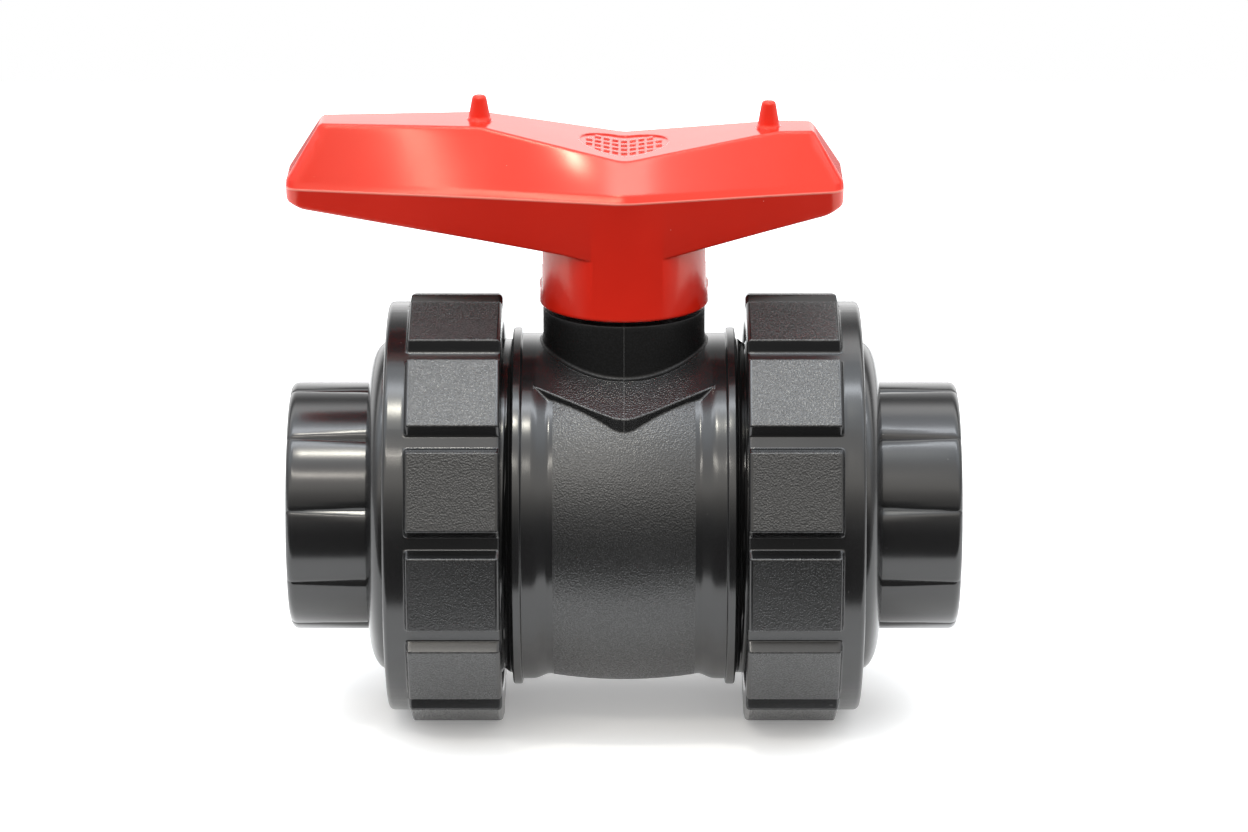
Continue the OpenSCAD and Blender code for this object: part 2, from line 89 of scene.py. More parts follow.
# ---------------------------------------------------------------------------------------------
# Mesh tools
# ---------------------------------------------------------------------------------------------
def rounded(corners, radii, steps=5, closed=False):
    """2-D path whose corners are arcs of the given radii, each with steps + 1 points."""
    corners = np.asarray(corners, float)
    count = len(corners)
    out = []
    for i, (p, r) in enumerate(zip(corners, radii)):
        if not closed and i in (0, count - 1):
            out.append(p[None])
            continue
        a = corners[i - 1] - p
        b = corners[(i + 1) % count] - p
        len_a, len_b = np.linalg.norm(a), np.linalg.norm(b)
        if r <= 0 or min(len_a, len_b) < 1e-6:
            out.append(np.repeat(p[None], steps + 1, 0))
            continue
        a, b = a / len_a, b / len_b
        half = 0.5 * math.acos(max(-1.0, min(1.0, float(a @ b))))
        if half > math.pi / 2 - 1e-3:
            out.append(np.repeat(p[None], steps + 1, 0))
            continue
        reach = min(r / math.tan(half), 0.49 * min(len_a, len_b))
        r = reach * math.tan(half)
        middle = p + (a + b) / np.linalg.norm(a + b) * r / math.sin(half)
        u, v = p + a * reach - middle, p + b * reach - middle
        sweep = math.pi - 2 * half
        s = np.linspace(0, 1, steps + 1)[:, None]
        out.append(middle + (np.sin((1 - s) * sweep) * u + np.sin(s * sweep) * v) / math.sin(sweep))
    return np.concatenate(out)


def new_piece(name, points, faces, face_slots=None):
    """Mesh object from points in millimetres round the ball's centre."""
    points = np.asarray(points, float) * MM
    points[:, 2] += AXIS_H * MM
    mesh = bpy.data.meshes.new(name)
    mesh.from_pydata(points.tolist(), [], faces)
    if face_slots is not None:
        mesh.polygons.foreach_set("material_index", np.asarray(face_slots, np.int32))
    bm = bmesh.new()
    bm.from_mesh(mesh)
    bmesh.ops.remove_doubles(bm, verts=bm.verts, dist=2e-7)
    bmesh.ops.recalc_face_normals(bm, faces=bm.faces)
    bm.to_mesh(mesh)
    bm.free()
    piece = bpy.data.objects.new(name, mesh)
    bpy.context.scene.collection.objects.link(piece)
    return piece


def grid_faces(rows, columns, wrap_rows, wrap_columns):
    """Quads of a grid of points, rows first."""
    i = np.arange(rows if wrap_rows else rows - 1)
    k = np.arange(columns if wrap_columns else columns - 1)
    i, k = np.meshgrid(i, k, indexing="ij")
    j, m = (i + 1) % rows, (k + 1) % columns
    return np.stack([i * columns + k, j * columns + k, j * columns + m, i * columns + m], -1).reshape(-1, 4)


def loft(name, sections, slots=None):
    """Closed solid through a row of closed sections, with flat ends."""
    sections = np.asarray(sections, float)
    rows, columns = sections.shape[:2]
    faces = grid_faces(rows, columns, False, True).tolist()
    faces.append(list(range(columns)))
    faces.append([(rows - 1) * columns + k for k in range(columns)])
    if slots is not None:
        slots = np.concatenate([np.asarray(slots).reshape(-1), [0, 0]])
    return new_piece(name, sections.reshape(-1, 3), faces, slots)


def ring_solid(name, x, r, angles, slots=None):
    """Ring round the pipe axis: x and r are grids, (points of the closed profile) by (angles)."""
    points = np.stack([x, -r * np.cos(angles), r * np.sin(angles)], -1)
    rows, columns = x.shape
    faces = grid_faces(rows, columns, True, True).tolist()
    return new_piece(name, points.reshape(-1, 3), faces, slots)


def turned(name, profile, count=128):
    """Solid of revolution round the stem axis from a closed profile of (radius, height)."""
    profile = np.asarray(profile, float)
    angles = np.arange(count) * 2 * math.pi / count
    r, z = profile[:, 0][:, None], profile[:, 1][:, None]
    points = np.stack([r * np.cos(angles), r * np.sin(angles), z + 0 * angles], -1)
    return new_piece(name, points.reshape(-1, 3), grid_faces(len(profile), count, True, True).tolist())


def spread(path, gap):
    """The path with extra points, so that none are further apart than gap."""
    out = [path[:1]]
    for a, b in zip(path[:-1], path[1:]):
        n = max(1, int(math.ceil(np.linalg.norm(b - a) / gap)))
        s = np.linspace(0, 1, n + 1)[1:, None]
        out.append(a + (b - a) * s)
    return np.concatenate(out)


def combine(piece, other, operation):
    """Boolean of two closed meshes; other is used up."""
    step = piece.modifiers.new("step", "BOOLEAN")
    step.operation = operation
    step.solver = "MANIFOLD"
    step.object = other
    bpy.context.view_layer.update()
    mesh = bpy.data.meshes.new_from_object(piece.evaluated_get(bpy.context.evaluated_depsgraph_get()))
    piece.modifiers.clear()
    piece.data = mesh
    bpy.data.objects.remove(other)
    return piece


def finish_shape(piece, sharp=32):
    """Smooth shading with crisp edges where faces meet at more than sharp degrees."""
    mesh = piece.data
    mesh.polygons.foreach_set("use_smooth", [True] * len(mesh.polygons))
    mesh.set_sharp_from_angle(angle=math.radians(sharp))
    normals = piece.modifiers.new("normals", "WEIGHTED_NORMAL")
    normals.mode = "FACE_AREA_WITH_ANGLE"
    normals.keep_sharp = True


# ---------------------------------------------------------------------------------------------
# Materials
# ---------------------------------------------------------------------------------------------
class Nodes:
    """Small helper for one material's node tree."""

    def __init__(self, name):
        self.material = bpy.data.materials.new(name)
        self.material.use_nodes = True
        self.tree = self.material.node_tree
        self.shader = self.tree.nodes["Principled BSDF"]
        self.place = self.add("ShaderNodeTexCoord").outputs["Object"]

    def add(self, kind, inputs=None, **settings):
        node = self.tree.nodes.new(kind)
        for key, value in settings.items():
            setattr(node, key, value)
        for key, value in (inputs or {}).items():
            if isinstance(value, bpy.types.NodeSocket):
                self.tree.links.new(value, node.inputs[key])
            else:
                node.inputs[key].default_value = value
        return node

    def noise(self, scale, detail=2.0, roughness=0.5):
        inputs = {"Vector": self.place, "Scale": scale, "Detail": detail, "Roughness": roughness}
        return self.add("ShaderNodeTexNoise", inputs).outputs["Fac"]

    def ramp(self, value, low, high, out_low=0.0, out_high=1.0):
        return self.add("ShaderNodeMapRange", {"Value": value, "From Min": low, "From Max": high,
                                               "To Min": out_low, "To Max": out_high}).outputs["Result"]

    def math(self, operation, a, b):
        return self.add("ShaderNodeMath", {0: a, 1: b}, operation=operation).outputs["Value"]

    def mix(self, factor, a, b):
        node = self.add("ShaderNodeMix", data_type="RGBA")
        for socket, value in ((0, factor), (6, a), (7, b)):
            if isinstance(value, bpy.types.NodeSocket):
                self.tree.links.new(value, node.inputs[socket])
            else:
                node.inputs[socket].default_value = value
        return node.outputs[2]

    def bump(self, height, distance, strength=1.0, normal=None):
        inputs = {"Height": height, "Distance": distance, "Strength": strength}
        if normal is not None:
            inputs["Normal"] = normal
        return self.add("ShaderNodeBump", inputs).outputs["Normal"]

    def line(self, axis, place, width):
        """1 on a thin line where one coordinate has the given value, both in millimetres."""
        along = self.add("ShaderNodeSeparateXYZ", {0: self.place}).outputs[axis]
        away = self.math("ABSOLUTE", self.math("SUBTRACT", along, place * MM), 0.0)
        return self.ramp(away, width * MM, 0.5 * width * MM, 0.0, 1.0)

    def soft_edges(self, radius):
        return self.add("ShaderNodeBevel", {"Radius": radius * MM}, samples=4).outputs["Normal"]

    def link(self, value, socket):
        self.tree.links.new(value, self.shader.inputs[socket])


def specks(nodes, size, share):
    """Tiny round spots of the given size in millimetres; share of the cells have one."""
    cell = nodes.add("ShaderNodeTexVoronoi", {"Vector": nodes.place, "Scale": 1.0 / (size * 14 * MM)})
    spot = nodes.ramp(cell.outputs["Distance"], 0.045, 0.025, 0.0, 1.0)
    pick = nodes.add("ShaderNodeSeparateColor", {"Color": cell.outputs["Color"]}).outputs["Red"]
    return nodes.math("MULTIPLY", spot, nodes.ramp(pick, 1.0 - share, 1.001 - share, 0.0, 1.0))


def hairlines(nodes, turn, size, share):
    """Short straight scratches: long thin cells, of which few hold a line."""
    stretch = (0.10 / (size * MM), 1.0 / (size * MM), 1.0 / (size * MM))
    place = nodes.add("ShaderNodeMapping", {"Vector": nodes.place, "Rotation": turn, "Scale": stretch})
    cell = nodes.add("ShaderNodeTexVoronoi", {"Vector": place.outputs["Vector"], "Scale": 1.0})
    line = nodes.ramp(cell.outputs["Distance"], 0.060, 0.030, 0.0, 1.0)
    pick = nodes.add("ShaderNodeSeparateColor", {"Color": cell.outputs["Color"]}).outputs["Green"]
    return nodes.math("MULTIPLY", line, nodes.ramp(pick, 1.0 - share, 1.001 - share, 0.0, 1.0))


def pvc(name, shade, roughness, grain_depth=0.0, grain_size=0.5, gloss=0.5, grain_ends=None, seam_highlight=False,
        edge=0.0):
    """Dark grey moulded PVC; grain_ends is where along the pipe the grain starts to fade and is gone."""
    nodes = Nodes(name)
    cloud = nodes.noise(42.0, 3.0, 0.55)
    dark = (shade * 0.94, shade * 0.94, shade * 0.98, 1.0)
    light = (shade * 1.06, shade * 1.06, shade * 1.12, 1.0)
    base = nodes.mix(nodes.ramp(cloud, 0.3, 0.7), dark, light)
    base = nodes.mix(nodes.math("MULTIPLY", specks(nodes, 0.16, 0.10), 0.6), base, (0.40, 0.39, 0.37, 1.0))
    scratches = hairlines(nodes, (0.4, 0.9, 0.3), 1.3, 0.05)
    base = nodes.mix(nodes.math("MULTIPLY", scratches, 0.4), base, (0.22, 0.22, 0.22, 1.0))
    smear = nodes.ramp(nodes.noise(28.0, 4.0, 0.6), 0.3, 0.7, roughness - 0.03, roughness + 0.04)
    ripple = nodes.bump(nodes.noise(70.0, 1.0), 0.02 * MM, 0.5, nodes.soft_edges(edge) if edge else None)
    if grain_depth:
        cells = nodes.add("ShaderNodeTexVoronoi", {"Vector": nodes.place, "Scale": 1.0 / (grain_size * MM),
                                                   "Smoothness": 0.6, "Randomness": 1.0},
                          feature="SMOOTH_F1").outputs["Distance"]
        fuzz = nodes.noise(0.9 / (grain_size * MM), 1.5, 0.6)
        height = nodes.math("SUBTRACT", nodes.math("MULTIPLY", fuzz, 0.4), cells)
        if grain_ends:
            along = nodes.add("ShaderNodeSeparateXYZ", {0: nodes.place}).outputs["X"]
            start, end = grain_ends
            keep = nodes.ramp(nodes.math("ABSOLUTE", along, 0.0), start * MM, end * MM, 1.0, 0.0)
            height = nodes.math("MULTIPLY", height, keep)
        normal = nodes.bump(height, grain_depth * MM, 1.0, ripple)
        # Painted shade: the grain's hollows are darkened to a quarter of the base tone, and only the crests
        # keep it
        unshaded_crest = nodes.ramp(height, -0.40, -0.12, 0.0, 1.0)
        base = nodes.mix(unshaded_crest, (shade * 0.25, shade * 0.25, shade * 0.25, 1.0), base)
        smear = nodes.math("ADD", smear, nodes.ramp(height, -0.40, -0.12, 0.10, -0.04))
        if seam_highlight:
            # Painted highlight: a pale line along the mould line at the middle, where its ridge would catch
            # the light
            mould_line_highlight = nodes.math("MULTIPLY", nodes.line("X", 0.0, 0.15), 0.4)
            base = nodes.mix(mould_line_highlight, base, (0.11, 0.11, 0.11, 1.0))
    else:
        normal = nodes.bump(nodes.noise(2600.0, 1.0), 0.002 * MM, 0.6, ripple)
    nodes.link(base, "Base Color")
    nodes.link(smear, "Roughness")
    nodes.link(normal, "Normal")
    nodes.shader.inputs["Specular IOR Level"].default_value = gloss
    return nodes.material


def red_plastic():
    nodes = Nodes("red_plastic")
    cloud = nodes.noise(38.0, 3.0, 0.55)
    base = nodes.mix(nodes.ramp(cloud, 0.3, 0.7), (0.60, 0.015, 0.006, 1.0), (0.64, 0.018, 0.008, 1.0))
    marks = nodes.math("MAXIMUM", hairlines(nodes, (0.2, 0.5, 0.35), 1.5, 0.06),
                       hairlines(nodes, (0.9, 0.1, 2.4), 1.1, 0.04))
    base = nodes.mix(nodes.math("MULTIPLY", marks, 0.12), base, (0.80, 0.20, 0.15, 1.0))
    base = nodes.mix(nodes.math("MULTIPLY", specks(nodes, 0.20, 0.10), 0.8), base, (0.85, 0.45, 0.40, 1.0))
    # Painted highlight: a pale line along the parting line, where its small ridge catches the light
    seam_highlight = nodes.line("Z", AXIS_H + PART_Z, 0.34)
    base = nodes.mix(nodes.math("MULTIPLY", seam_highlight, 0.6), base, (0.85, 0.30, 0.24, 1.0))
    nodes.link(base, "Base Color")
    smear = nodes.ramp(nodes.noise(30.0, 4.0, 0.6), 0.3, 0.7, 0.16, 0.21)
    nodes.link(smear, "Roughness")
    ripple = nodes.bump(nodes.noise(60.0, 1.0), 0.02 * MM, 0.5, nodes.soft_edges(0.8))
    nodes.link(nodes.bump(nodes.noise(2400.0, 1.0), 0.0022 * MM, 0.8, ripple), "Normal")
    nodes.shader.inputs["Specular IOR Level"].default_value = 0.46
    nodes.shader.inputs["Specular Tint"].default_value = (1.0, 0.93, 0.76, 1.0)
    return nodes.material


def plain_plastic(name, low, high, roughness, fine=0.004):
    """Smooth inner parts: slight clouding, turned or moulded fine texture."""
    nodes = Nodes(name)
    base = nodes.mix(nodes.ramp(nodes.noise(60.0, 3.0), 0.3, 0.7), (*low, 1.0), (*high, 1.0))
    nodes.link(base, "Base Color")
    nodes.link(nodes.ramp(nodes.noise(35.0, 3.0), 0.3, 0.7, roughness - 0.05, roughness + 0.06), "Roughness")
    nodes.link(nodes.bump(nodes.noise(1800.0, 2.0), fine * MM, 0.8), "Normal")
    return nodes.material


GRAINED = pvc("grained_pvc", 0.020, 0.29, 0.080, 0.42, gloss=0.7)
PAD_PVC = pvc("pad_pvc", 0.012, 0.22, 0.080, 0.42, gloss=0.75, grain_ends=(14.0, 21.3), seam_highlight=True, edge=0.35)
SATIN = pvc("satin_pvc", 0.007, 0.19, gloss=0.64)
NECK_PVC = pvc("neck_pvc", 0.008, 0.40, 0.03, gloss=0.35, seam_highlight=True)
RED = red_plastic()
BALL = plain_plastic("ball_pvc", (0.10, 0.10, 0.11), (0.13, 0.13, 0.14), 0.16, 0.001)
STEM = plain_plastic("stem_pvc", (0.055, 0.055, 0.06), (0.075, 0.075, 0.08), 0.34)
CARRIER = plain_plastic("carrier_pvc", (0.045, 0.045, 0.05), (0.06, 0.06, 0.065), 0.32)
PTFE = plain_plastic("ptfe", (0.76, 0.75, 0.71), (0.85, 0.84, 0.80), 0.38)
RUBBER = plain_plastic("rubber", (0.010, 0.010, 0.010), (0.018, 0.018, 0.018), 0.48, 0.006)


def wear(piece, *materials):
    """Gives a piece its materials, in the order of its face slots."""
    if piece.data.materials:
        piece.data.materials.clear()
    for material in materials:
        piece.data.materials.append(material)


# ---------------------------------------------------------------------------------------------
# Threads
# ---------------------------------------------------------------------------------------------
def thread_wave(x, angles, side):
    """0 at the crests and 1 in the grooves of a right-hand thread, rounded."""
    turn = (x - side * THREAD_PITCH * angles / (2 * math.pi)) / THREAD_PITCH
    saw = np.abs((turn % 1.0) * 2 - 1)
    crest_share, flank_share = 0.28, 0.44
    s = np.clip((saw - crest_share) / flank_share, 0, 1)
    return s ** 2 * (3 - 2 * s)


def fade(x, start, end):
    """0 before start, 1 after end, smooth between."""
    s = np.clip((x - start) / (end - start), 0, 1)
    return s * s * (3 - 2 * s)


# ---------------------------------------------------------------------------------------------
# Union nuts
# ---------------------------------------------------------------------------------------------
RIBS = 13
RIB_H = 1.9
RIB_HALF = 9.48
RIB_GAP = math.radians(1.75)
SHOULDER_W = 4.7
SHOULDER_STEP = 9.9
SHOULDER_H = 8.6
COLLAR_W = 5.8
RIB_END = NUT_FAR - SHOULDER_W - COLLAR_W
COLLAR_R = RIB_R - RIB_H
NUT_BORE_R = THREAD_R + 0.15
LEAD_IN = 4.5


def rib_outline():
    """Angles and outline radii of one rib and half the gap on each side, about the rib's middle."""
    half = math.pi / RIBS
    foot = half - RIB_GAP

    def at(angle):
        return [COLLAR_R * math.sin(angle), COLLAR_R * math.cos(angle)]

    path = rounded([at(-half), at(-foot), [-RIB_HALF, RIB_R], [RIB_HALF, RIB_R], at(foot), at(half)],
                   [0, 0.7, 0.55, 0.55, 0.7, 0], 4)
    path = spread(path, 2.2)[:-1]
    return np.arctan2(path[:, 0], path[:, 1]), np.hypot(path[:, 0], path[:, 1])


def union_nut(name, node, body, side):
    """Nut with grip ribs, a domed shoulder and a female thread; its sections blend between two profiles."""
    angle, radius = rib_outline()
    angles = np.concatenate([angle + 2 * math.pi * i / RIBS for i in range(RIBS)]) - math.pi / 2
    stand = (np.tile(radius, RIBS) - COLLAR_R) / RIB_H
    near, far = NUT_NEAR, NUT_FAR
    collar_x = far - SHOULDER_W
    lip_x = FACE_X + 7.5
    hole_r = CONNECTOR_R + 0.4
    turn = np.linspace(0, math.pi / 2, 6)
    base = np.concatenate([
        np.stack([near + 0.7 * (1 - np.cos(turn)), COLLAR_R - 0.7 + 0.7 * np.sin(turn)], -1),
        [[x, COLLAR_R] for x in (near + 2, near + 8, near + 15, RIB_END - 2)],
        [[RIB_END - 0.9 + 0.28 * i, COLLAR_R] for i in range(9)],
        rounded([[RIB_END + 2, COLLAR_R], [collar_x, COLLAR_R], [collar_x + 0.15, COLLAR_R - SHOULDER_STEP]],
                [0, 1.3, 0], 6)])
    rib_drop = rounded([[RIB_END - 1.0, RIB_R], [RIB_END + 0.05, RIB_R], [RIB_END + 0.45, COLLAR_R],
                        [RIB_END + 1.4, COLLAR_R]], [0, 0.55, 0.5, 0], 3)
    place = np.linspace(0, len(rib_drop) - 1, 9)
    rib_drop = np.stack([np.interp(place, range(len(rib_drop)), rib_drop[:, k]) for k in (0, 1)], -1)
    # Points 0 to 5 round the near edge, 6 to 9 run along the rib, and 10 to 18 drop off its end
    rib = base.copy()
    rib[:6] = np.stack([near + 1.0 * (1 - np.cos(turn)), RIB_R - 1.0 + 1.0 * np.sin(turn)], -1)
    rib[6:10, 1] = RIB_R
    rib[10:19] = rib_drop
    shoulder = [[collar_x + SHOULDER_W * math.sin(a),
                 COLLAR_R - SHOULDER_STEP - SHOULDER_H * (1 - math.cos(a))]
                for a in np.linspace(0.06, 1.45, 14)]
    lip = rounded([shoulder[-1], [far, hole_r + 0.9], [far - 0.5, hole_r], [lip_x, hole_r],
                   [lip_x, NUT_BORE_R], [lip_x - 6, NUT_BORE_R]], [0, 0.5, 0.4, 0.3, 0.6, 0], 3)
    thread_x = np.arange(FACE_X + 1.0, near + 4.6, -0.25)
    inner = np.concatenate([lip[1:], np.stack([thread_x, 0 * thread_x + NUT_BORE_R], -1),
                            rounded([[near + LEAD_IN, NUT_BORE_R], [near + 4.0, NUT_BORE_R + 0.5],
                                     [near + 3.8, NUT_BORE_R + LEAD_IN], [near + 0.3, NUT_BORE_R + LEAD_IN],
                                     [near, NUT_BORE_R + 4.9], [near, COLLAR_R - 0.8]],
                                    [0, 0.2, 0.5, 0.2, 0.2, 0], 3)])
    tail = np.concatenate([shoulder, inner])
    base = np.concatenate([base, tail])
    rib = np.concatenate([rib, tail])
    lean = stand[None, :]
    x = base[:, :1] + (rib[:, :1] - base[:, :1]) * np.clip(lean, 0, 1)
    r = base[:, 1:] + (rib[:, 1:] - base[:, 1:]) * lean
    threaded = (np.abs(r - NUT_BORE_R) < 1e-6) & (x < FACE_X + 1.01)
    groove = thread_wave(x, angles[None, :], side) * fade(x, near + 4.6, near + 6.5)
    groove = groove * (1 - fade(x, FACE_X - 1.5, FACE_X + 0.5))
    r = np.where(threaded, r + THREAD_DEPTH * groove, r)
    on_rib = np.clip((lean - 0.93) * 40, 0, 1) > 0.5
    flat = np.zeros(x.shape, int)
    flat[5:11] = on_rib
    flat = flat * np.roll(flat, -1, 1)
    piece = ring_solid(name, side * x, r, angles[None, :] + 0 * x, flat.reshape(-1))
    wear(piece, SATIN, GRAINED)
    finish_shape(piece, 40)
    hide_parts(node)
    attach(piece, body)
    return piece


# ---------------------------------------------------------------------------------------------
# End connectors
# ---------------------------------------------------------------------------------------------
LOBES = 10
LOBE_PHASE = math.radians(14.5)
FLANGE_W = 7.4


def lobe_angles():
    """Angles of the points round the socket, closer together beside each V line."""
    lobe = 0.628
    close = np.array([0.012, 0.025, 0.045])
    offsets = np.concatenate([[0], close, np.linspace(0.09, lobe - 0.09, 9), lobe - close[::-1]])
    offsets = offsets / lobe * 2 * math.pi / LOBES
    return np.concatenate([offsets + 2 * math.pi * i / LOBES for i in range(LOBES)]) + LOBE_PHASE


def end_connector(name, node, body, side):
    """Flanged socket with shallow V lines that widen towards the nut."""
    near = FACE_X + 0.05
    flange_x = near + FLANGE_W
    floor_x = MOUTH_X - SOCKET_DEPTH
    angles = lobe_angles()
    outer = rounded([[near, PORT_R + 2], [near, FLANGE_R], [flange_x, FLANGE_R], [flange_x, CONNECTOR_R],
                     [MOUTH_X, CONNECTOR_R], [MOUTH_X, SOCKET_R + 1.2], [MOUTH_X - 1.0, SOCKET_R],
                     [floor_x, SOCKET_R], [floor_x, PORT_R + 2], [near, PORT_R + 2]],
                    [0, 0.6, 0.6, 0.5, 1.9, 0.5, 0.4, 0.3, 0.5, 0], 5)[:-1]
    outer = spread(np.concatenate([outer, outer[:1]]), 2.0)[:-1]
    x = outer[:, :1] + 0 * angles[None, :]
    r = outer[:, 1:] + 0 * angles[None, :]
    step = 2 * math.pi / LOBES
    away = np.abs(((angles - LOBE_PHASE + step / 2) % step) - step / 2)
    outside = (x > flange_x + 0.3) & (r > SOCKET_R + 2.0)
    along = np.clip((x - NUT_FAR) / (MOUTH_X - NUT_FAR), 0, 1)
    depth = 0.75 - 0.60 * along
    width = 0.050 - 0.036 * along
    notch = depth * np.clip(1 - away[None, :] / width, 0, 1)
    valley = 0.45 * (1 - away[None, :] / (step / 2)) ** 2
    r = np.where(outside, r - notch - valley, r)
    piece = ring_solid(name, side * x, r, angles[None, :] + 0 * x)
    wear(piece, SATIN)
    finish_shape(piece, 40)
    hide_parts(node)
    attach(piece, body)
    return piece


# ---------------------------------------------------------------------------------------------
# Body
# ---------------------------------------------------------------------------------------------
PAD_TILT = math.radians(62.5)
PAD_TIP = (21.5, 22.0)
PAD_POINT = 33.2
RING_X = 27.2
END_R = WAIST_R + 1.3
NECK_R = 19.8
STOP_INSET = 2.3
STOP_W = 3.9
GRAIN_X = 17.6


def barrel_outline():
    """Outside of the body along the pipe: (x, radius) from the middle to the right face."""
    crown, crown_half = 1.5, 18.4
    arc = [[x, WAIST_R + crown * (1 - (x / crown_half) ** 2)] for x in np.linspace(0, 17.2, 24)]
    rest = rounded([arc[-1], [18.5, WAIST_R - 0.05], [21.7, END_R], [24.9, END_R], [24.9, END_R + 1.3],
                    [RING_X, END_R + 1.3], [RING_X, THREAD_R], [FACE_X - THREAD_DEPTH, THREAD_R],
                    [FACE_X, THREAD_R - THREAD_DEPTH], [FACE_X, 30.0]],
                   [0, 5.0, 4.5, 0.35, 0.5, 0.5, 0.5, 0.3, 0.3, 0], 6)
    fine = []
    for a, b in zip(rest[:-1], rest[1:]):
        gap = 0.25 if a[0] >= RING_X - 1e-6 and abs(a[1] - THREAD_R) < 0.7 else 0.8
        n = max(1, int(math.ceil(np.linalg.norm(b - a) / gap)))
        fine += [a + (b - a) * i / n for i in range(n)]
    return np.concatenate([arc[:-1], fine, rest[-1:]])


def pad_edge(x):
    """Distance of the V's wall in front of the stem axis."""
    slope = (PAD_POINT - PAD_TIP[1]) / PAD_TIP[0]
    nose = 3.4
    x = abs(x)
    drop = slope * x if x > nose else slope * (x * x / (2 * nose) + nose / 2)
    return max(PAD_POINT - drop, PAD_TIP[1])


def arc_points(r, start, end, count):
    """Points on an arc round the pipe axis, as (forward, up)."""
    a = np.linspace(start, end, count)
    return np.stack([r * np.cos(a), r * np.sin(a)], -1)


def front_section(x, r):
    """Front half of the body's outline at x, from bottom to top: side, wall and face of the V, crown."""
    edge = pad_edge(x)
    low_z = math.sqrt(max(r * r - edge * edge, 1.0))
    low_angle = math.atan2(low_z, edge)
    side = arc_points(r, -math.pi / 2, low_angle - 0.03, 46)
    if abs(x) < PAD_TIP[0] + 0.4:
        over = max(r, END_R)
        slide = (edge - over * math.cos(PAD_TILT)) / math.sin(PAD_TILT)
        top_z = over * math.sin(PAD_TILT) - slide * math.cos(PAD_TILT)
        tangent = np.array([over * math.cos(PAD_TILT), over * math.sin(PAD_TILT)])
        start = [r * math.cos(low_angle - 0.03), r * math.sin(low_angle - 0.03)]
        wall = rounded([start, [edge, low_z], [edge, top_z], tangent], [0, 0.9, 0.55, 0], 5)[1:-1]
        face = wall[-1] + (tangent - wall[-1]) * np.linspace(0.12, 1, 8)[:, None]
    else:
        # As many points as above, without the V
        over = r
        wall = arc_points(r, low_angle - 0.02, PAD_TILT - 0.03, 12)
        face = arc_points(r, PAD_TILT - 0.026, PAD_TILT, 8)
    crown = arc_points(over, PAD_TILT, math.pi / 2, 12)[1:]
    return np.concatenate([side, wall, face, crown])


def body_shell():
    """Outside of the body with its two male threads."""
    outline = barrel_outline()
    outline = np.concatenate([outline[:0:-1] * [-1, 1], outline])
    sections = []
    for x, r in outline:
        front = front_section(x, r)
        back = front[-2:0:-1] * [-1, 1]
        loop = np.concatenate([front, back])
        sections.append(np.stack([0 * loop[:, 0] + x, -loop[:, 0], loop[:, 1]], -1))
    sections = np.array(sections)
    angles = np.arctan2(sections[..., 2], -sections[..., 1])
    radii = np.hypot(sections[..., 1], sections[..., 2])
    x = sections[..., 0]
    along = np.abs(x)
    groove = thread_wave(along, angles, np.sign(x)) * fade(along, RING_X + 0.5, RING_X + 2.5)
    groove = groove * (1 - fade(along, FACE_X - 2.2, FACE_X - 1.0))
    threaded = (along > RING_X) & (np.abs(radii - THREAD_R) < 0.02)
    scale = np.where(threaded, (radii - THREAD_DEPTH * groove) / radii, 1.0)
    sections[..., 1:] *= scale[..., None]
    farther = np.maximum(along[:-1, :1], along[1:, :1])
    slots = np.repeat(farther < GRAIN_X, sections.shape[1], 1).astype(int)
    y, z = np.abs(sections[:-1, :, 1]), sections[:-1, :, 2]
    edge = np.array([pad_edge(v) for v in x[:-1, 0]])[:, None]
    on_pad = (z > 26) & (y < edge + 0.02) & (farther < PAD_TIP[0])
    slots = np.where(on_pad, 3, slots)
    return loft("valve_body", sections, slots)


def neck_solid():
    """Neck with a small fillet where it stands on the barrel, and a mould line front and back."""
    fillet = 0.8
    base_angles = np.arange(160) * 2 * math.pi / 160
    line = np.radians([-90.45, -90.2, -89.8, -89.55, 89.55, 89.8, 90.2, 90.45]) % (2 * math.pi)
    angles = np.unique(np.concatenate([base_angles, line]))
    barrel_top = END_R + 0.05
    saddle = np.sqrt(barrel_top ** 2 - (NECK_R * np.sin(angles)) ** 2)
    heights = [4.0, 2.0, 1.1, 0.8, 0.55, 0.35, 0.2, 0.08, 0.0, -0.25]
    rim = [(6.0, NECK_TOP), (NECK_R - 0.5, NECK_TOP), (NECK_R - 0.15, NECK_TOP - 0.15),
           (NECK_R, NECK_TOP - 0.5), (NECK_R, NECK_TOP - 1.5)]
    points = [np.stack([r * np.cos(angles), r * np.sin(angles), 0 * angles + z], -1) for r, z in rim]
    for h in heights:
        grow = fillet - math.sqrt(fillet ** 2 - (fillet - max(h, 0.0)) ** 2) if h < fillet else 0.0
        r = NECK_R + grow
        z = np.minimum(saddle + h, NECK_TOP - 1.6)
        points.append(np.stack([r * np.cos(angles), r * np.sin(angles), z], -1))
    points.append(np.stack([12.0 * np.cos(angles), 12.0 * np.sin(angles), 0 * angles + 36.0], -1))
    points = np.array(points)
    turn = angles[:, None] - np.radians([90.0, 270.0])
    away = np.min(np.abs((turn + math.pi) % (2 * math.pi) - math.pi), 1)
    outside = np.hypot(points[..., 0], points[..., 1]) > NECK_R - 0.1
    ridge = (away < math.radians(0.3))[None, :] & outside
    points[..., :2] *= 1 + 0.14 / NECK_R * ridge[..., None]
    rows, columns = points.shape[:2]
    faces = grid_faces(rows, columns, False, True).tolist()
    faces += [list(range(columns)), [(rows - 1) * columns + k for k in range(columns)]]
    return new_piece("neck", points.reshape(-1, 3), faces)


def revolve_tool(name, profile, count=144):
    """Cutter of revolution round the pipe: a closed profile of (x, radius), ends on the axis."""
    profile = np.asarray(profile, float)
    angles = np.arange(count) * 2 * math.pi / count
    sections = np.stack([profile[:, 0][:, None] + 0 * angles, -profile[:, 1][:, None] * np.cos(angles),
                         profile[:, 1][:, None] * np.sin(angles)], -1)
    return loft(name, sections)


def swept(name, section, sweep):
    """Solid from a section of (radius, height) swept round the stem axis through the given angles."""
    return loft(name, [[[r * math.cos(a), r * math.sin(a), z] for r, z in section] for a in sweep])


